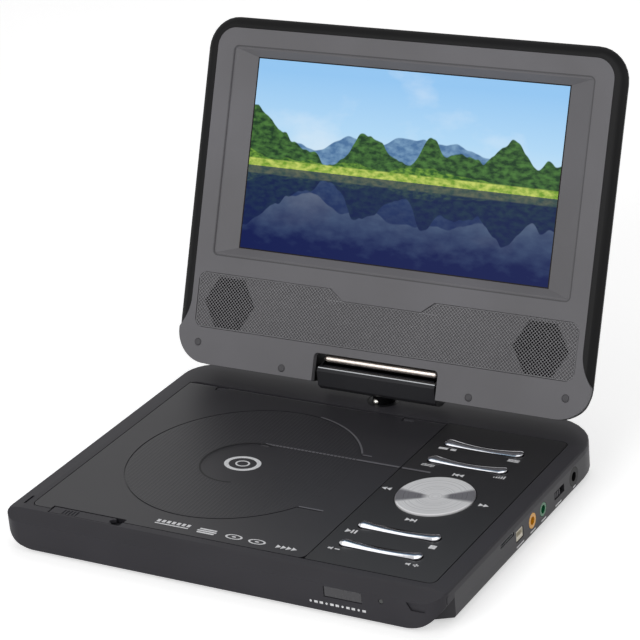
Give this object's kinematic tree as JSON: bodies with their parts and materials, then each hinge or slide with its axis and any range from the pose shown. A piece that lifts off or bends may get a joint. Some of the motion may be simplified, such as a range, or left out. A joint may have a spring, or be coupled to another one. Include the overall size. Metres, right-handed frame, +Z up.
{
  "type": "portable disc player",
  "caption": "Portable disc player: flat base with hinged disc lid, control keys and side sockets, and a 7-inch screen on a hinge that swivels and tilts.",
  "frame": {"origin": "on the surface that the feet stand on, in the middle of the open player", "axes": "+X to the right of the user, +Y from the user to the back, +Z up"},
  "size_m": [0.206, 0.213, 0.172],
  "materials": {
    "grey_plastic": "satin",
    "charcoal_plastic": "satin",
    "panel_plastic": "satin",
    "circuit_board": "satin",
    "battery_wrap": "polished",
    "black_plastic": "satin",
    "green_plastic": "polished",
    "yellow_plastic": "polished",
    "cream_plastic": "satin",
    "steel": "brushed",
    "dark_lens": "polished",
    "lamp_plastic": "polished",
    "rubber": "matt",
    "brass": "polished",
    "lens_glass": "clear",
    "chrome": "mirror polish",
    "spun_aluminium": "spun",
    "hinge_plastic": "satin",
    "shell_plastic": "polished",
    "bezel_plastic": "satin",
    "grille_plastic": "satin",
    "display_glass": "polished",
    "aluminium": "spun"
  },
  "bodies": {
    "base": {"bottom_case": "grey_plastic", "top_case": "charcoal_plastic", "control_panel": "panel_plastic", "disc_deck": "panel_plastic", "main_board": "circuit_board", "key_board": "circuit_board", "battery_pack": "battery_wrap", "dc_jack": "black_plastic", "headphone_jack": "green_plastic", "av_jack": "yellow_plastic", "usb_port": "cream_plastic", "card_slot": "steel", "ir_window": "dark_lens", "status_led": "lamp_plastic", "rubber_feet": "rubber", "case_screws": "steel", "drive_chassis": "steel", "drive_dampers": "rubber", "spindle_motor": "steel", "sled_motor": "steel", "guide_rods": "steel", "swivel_bush": "black_plastic", "lid_hinge_pins": "steel"},
    "lid": {"disc_lid": "charcoal_plastic"},
    "latch": {"open_latch": "charcoal_plastic"},
    "spindle": {"spindle_hub": "cream_plastic"},
    "sled": {"optical_pickup": "black_plastic", "pickup_lens": "lens_glass"},
    "gear": {"drive_gear": "cream_plastic"},
    "pinion": {"motor_pinion": "brass"},
    "menu_key": {"menu_rocker": "chrome"},
    "search_key": {"search_rocker": "chrome"},
    "play_key": {"play_rocker": "chrome"},
    "volume_key": {"volume_rocker": "chrome"},
    "nav_cross": {"nav_pivot": "steel"},
    "nav": {"nav_disc": "spun_aluminium"},
    "switch": {"power_switch": "black_plastic"},
    "turret": {"turret_block": "hinge_plastic", "hinge_barrel": "chrome", "swivel_post": "steel", "post_clip": "steel"},
    "screen": {"screen_back": "shell_plastic", "screen_bezel": "bezel_plastic", "speaker_grille": "grille_plastic", "lcd_panel": "display_glass", "lcd_backlight": "aluminium", "speaker_left": "black_plastic", "speaker_right": "black_plastic", "screen_board": "circuit_board", "screen_bumpers": "rubber", "screen_screws": "steel", "tilt_shaft": "steel", "tilt_brackets": "steel"}
  },
  "joints": [
    {"name": "lid_hinge", "type": "hinge", "parent": "base", "child": "lid", "pos_m": [0, 0.03123, 0.0145], "axis": [-1, 0, 0], "range_deg": [0, 60]},
    {"name": "latch_slide", "type": "slide", "parent": "base", "child": "latch", "axis": [1, 0, 0], "range_m": [0, 0.004]},
    {"name": "spindle_spin", "type": "hinge", "parent": "base", "child": "spindle", "pos_m": [-0.029, -0.03047, 0], "axis": [0, 0, 1], "continuous": true},
    {"name": "pickup_slide", "type": "slide", "parent": "base", "child": "sled", "axis": [0, -1, 0], "range_m": [0, 0.032]},
    {"name": "gear_turn", "type": "hinge", "parent": "base", "child": "gear", "pos_m": [-0.0032, -0.05897, 0], "axis": [0, 0, 1], "range_deg": [-5, 390]},
    {"name": "pinion_turn", "type": "hinge", "parent": "base", "child": "pinion", "pos_m": [0.0083, -0.05897, 0], "axis": [0, 0, 1], "range_deg": [-1400, 10]},
    {"name": "menu_rock", "type": "hinge", "parent": "base", "child": "menu_key", "pos_m": [0.0634, 0.01553, 0.0134], "axis": [0, 1, 0], "range_deg": [-2, 2], "stiffness_Nm_per_rad": 0.15},
    {"name": "search_rock", "type": "hinge", "parent": "base", "child": "search_key", "pos_m": [0.0634, -0.00047, 0.0134], "axis": [0, 1, 0], "range_deg": [-2, 2], "stiffness_Nm_per_rad": 0.15},
    {"name": "play_rock", "type": "hinge", "parent": "base", "child": "play_key", "pos_m": [0.0634, -0.06247, 0.0134], "axis": [0, 1, 0], "range_deg": [-2, 2], "stiffness_Nm_per_rad": 0.15},
    {"name": "volume_rock", "type": "hinge", "parent": "base", "child": "volume_key", "pos_m": [0.0634, -0.07847, 0.0134], "axis": [0, 1, 0], "range_deg": [-2, 2], "stiffness_Nm_per_rad": 0.15},
    {"name": "nav_tip_x", "type": "hinge", "parent": "base", "child": "nav_cross", "pos_m": [0.0634, -0.03047, 0.0136], "axis": [1, 0, 0], "range_deg": [-2, 2], "stiffness_Nm_per_rad": 0.3},
    {"name": "nav_tip_y", "type": "hinge", "parent": "nav_cross", "child": "nav", "pos_m": [0.0634, -0.03047, 0.0136], "axis": [0, 1, 0], "range_deg": [-2, 2], "stiffness_Nm_per_rad": 0.3},
    {"name": "power_slide", "type": "slide", "parent": "base", "child": "switch", "axis": [0, 1, 0], "range_m": [0, 0.003]},
    {"name": "screen_swivel", "type": "hinge", "parent": "base", "child": "turret", "pos_m": [0, 0.04503, 0.0165], "axis": [0, 0, 1], "range_deg": [-180, 0]},
    {"name": "screen_tilt", "type": "hinge", "parent": "turret", "child": "screen", "pos_m": [0, 0.04503, 0.0268], "axis": [-1, 0, 0], "range_deg": [-112.2, 67.8]}
  ],
  "couplings": [
    {"joint": "gear_turn", "follows": "pickup_slide", "rad_per_m": 208.33},
    {"joint": "pinion_turn", "follows": "pickup_slide", "rad_per_m": -750}
  ]
}
